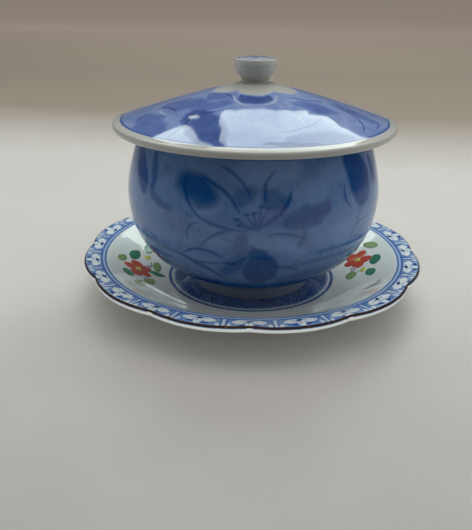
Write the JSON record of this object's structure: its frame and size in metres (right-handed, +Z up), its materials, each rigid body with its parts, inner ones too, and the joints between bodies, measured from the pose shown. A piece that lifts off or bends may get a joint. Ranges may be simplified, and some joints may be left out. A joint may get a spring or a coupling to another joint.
{
  "type": "lidded tea cup with saucer",
  "caption": "Round-bellied porcelain tea cup with a knobbed overhanging lid, standing in the well of a lobed saucer; cup and lid lift off.",
  "frame": {"origin": "centre of the saucer's resting face, on the surface that it stands on", "axes": "+Z up along the axis of the saucer, cup and lid; -Y towards the side seen first"},
  "size_m": [0.1314, 0.1314, 0.0914],
  "materials": {
    "saucer_glaze": "glossy clear glaze over white porcelain with blue border and enamelled flowers",
    "cup_glaze": "glossy clear glaze over brushed underglaze blue",
    "lid_glaze": "glossy clear glaze over brushed underglaze blue with a bare white edge",
    "plain_glaze": "glossy clear glaze over white porcelain",
    "bare_clay": "smooth unglazed porcelain, wiped clean where it rests"
  },
  "bodies": {
    "saucer": {"saucer_dish": "saucer_glaze", "saucer_foot_ring": "bare_clay"},
    "cup": {"cup_bowl": "cup_glaze", "cup_foot_ring": "bare_clay"},
    "lid": {"lid_dome": "lid_glaze", "lid_locating_ring": "plain_glaze", "lid_knob": "plain_glaze"}
  },
  "joints": [
    {"name": "cup_lift", "type": "slide", "parent": "saucer", "child": "cup", "axis": [0, 0, 1], "range_m": [0, 0.06]},
    {"name": "lid_lift", "type": "slide", "parent": "cup", "child": "lid", "axis": [0, 0, 1], "range_m": [0, 0.045]}
  ]
}
